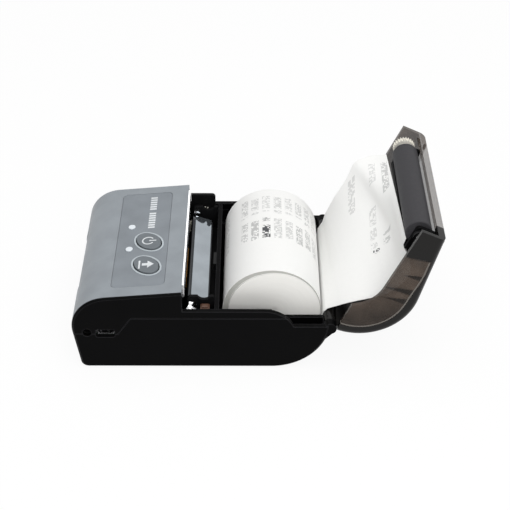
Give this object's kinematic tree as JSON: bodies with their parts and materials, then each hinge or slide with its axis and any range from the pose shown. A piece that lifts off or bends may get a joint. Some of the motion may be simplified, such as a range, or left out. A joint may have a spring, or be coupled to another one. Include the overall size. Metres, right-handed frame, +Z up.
{
  "type": "portable receipt printer",
  "caption": "Palm-sized thermal receipt printer with a sloping key deck, hinged smoked roll cover standing open, platen roller, print head, drive gears and a paper roll in its bay.",
  "frame": {"origin": "on the flat underside, under the middle of the width, just ahead of the platen bay", "axes": "+X from the nose towards the cover hinge, +Y towards the gear side, +Z up"},
  "size_m": [0.1439, 0.077, 0.0671],
  "materials": {
    "black_abs": "fine satin black moulding",
    "black_inner": "matt black moulding",
    "grey_panel": "satin blue-grey moulding",
    "grey_keypad": "matt grey film",
    "pale_trim": "pale gloss trim",
    "dark_key": "satin dark grey key",
    "light_pipe": "milky light pipe",
    "window": "milky window",
    "circuit_board": "green solder mask",
    "chip_black": "moulded black",
    "steel": "bright steel",
    "dark_steel": "dull steel",
    "aluminium": "plain aluminium",
    "glazed_strip": "glossy glazed strip",
    "nylon": "natural nylon",
    "smoked": "smoked translucent moulding",
    "platen_rubber": "ground rubber",
    "paper": "thermal paper",
    "flex": "amber film",
    "battery_blue": "dark wrapped pack",
    "brown_block": "brown moulding",
    "brass": "plain brass",
    "bushing": "white acetal"
  },
  "bodies": {
    "base": {"lower_housing": "black_abs", "upper_housing": "black_abs", "deck_panel": "grey_panel", "front_window": "window", "keypad_panel": "grey_keypad", "button_bezels": "pale_trim", "status_lights": "light_pipe", "keypad_board": "circuit_board", "tact_switches": "chip_black", "tear_bar": "steel", "main_board": "circuit_board", "board_components": "chip_black", "dc_jack": "chip_black", "dc_jack_pin": "brass", "usb_socket": "steel", "usb_tongue": "chip_black", "battery_pack": "battery_blue", "battery_contacts": "brass", "housing_screws": "dark_steel", "print_frame": "black_inner", "head_pivot_pins": "steel", "head_leaf_spring": "steel", "head_flex_cable": "flex", "platen_latches": "steel", "cover_switch": "brown_block", "paper_sensor": "chip_black", "drive_motor": "steel", "reduction_axle": "steel", "idler_axle": "steel", "gear_cover": "black_inner", "hinge_pins": "steel", "paper_tail": "paper"},
    "cover": {"cover_shell": "smoked", "platen_bracket": "black_inner", "platen_bushings": "bushing", "lip_buffers": "platen_rubber", "paper_web": "paper"},
    "platen": {"platen_shaft": "steel", "platen_roller": "platen_rubber", "platen_gear": "nylon"},
    "print_head": {"head_heatsink": "aluminium", "head_substrate": "glazed_strip"},
    "power_button": {"power_button": "dark_key"},
    "feed_button": {"feed_button": "dark_key"},
    "battery_door": {"battery_door": "black_inner"},
    "motor_pinion": {"motor_pinion": "brass"},
    "reduction_gear": {"reduction_gear": "nylon"},
    "idler_gear": {"idler_gear": "nylon"},
    "paper_roll": {"paper_roll": "paper"}
  },
  "joints": [
    {"name": "cover_hinge", "type": "hinge", "parent": "base", "child": "cover", "pos_m": [0.0509, 0, 0.01965], "axis": [0, -1, 0], "range_deg": [0, 115]},
    {"name": "platen_spin", "type": "hinge", "parent": "cover", "child": "platen", "pos_m": [0.08354, 0, 0.05949], "axis": [0, 1, 0], "continuous": true},
    {"name": "idler_spin", "type": "hinge", "parent": "base", "child": "idler_gear", "pos_m": [-0.00114, 0.0333, 0.02403], "axis": [0, 1, 0], "continuous": true},
    {"name": "reduction_spin", "type": "hinge", "parent": "base", "child": "reduction_gear", "pos_m": [-0.00675, 0.0333, 0.0148], "axis": [0, 1, 0], "continuous": true},
    {"name": "pinion_spin", "type": "hinge", "parent": "base", "child": "motor_pinion", "pos_m": [0.0003, 0.0333, 0.0098], "axis": [0, 1, 0], "continuous": true},
    {"name": "roll_spin", "type": "hinge", "parent": "base", "child": "paper_roll", "pos_m": [0.0278, 0, 0.0219], "axis": [0, 1, 0], "continuous": true},
    {"name": "head_tilt", "type": "hinge", "parent": "base", "child": "print_head", "pos_m": [0.00076, 0, 0.02238], "axis": [0, -1, 0], "range_deg": [0, 2], "stiffness_Nm_per_rad": 0.6, "springref_deg": -0.57},
    {"name": "power_press", "type": "slide", "parent": "base", "child": "power_button", "axis": [0.0872, 0, -0.9962], "range_m": [0, 0.0007], "stiffness_N_per_m": 900},
    {"name": "feed_press", "type": "slide", "parent": "base", "child": "feed_button", "axis": [0.0872, 0, -0.9962], "range_m": [0, 0.0007], "stiffness_N_per_m": 900},
    {"name": "battery_door_hinge", "type": "hinge", "parent": "base", "child": "battery_door", "pos_m": [-0.0146, 0, 0.00095], "axis": [0, -1, 0], "range_deg": [0, 90]}
  ],
  "couplings": [
    {"joint": "idler_spin", "follows": "platen_spin", "ratio": -1},
    {"joint": "reduction_spin", "follows": "platen_spin", "ratio": 0.66667},
    {"joint": "pinion_spin", "follows": "platen_spin", "ratio": -2}
  ]
}
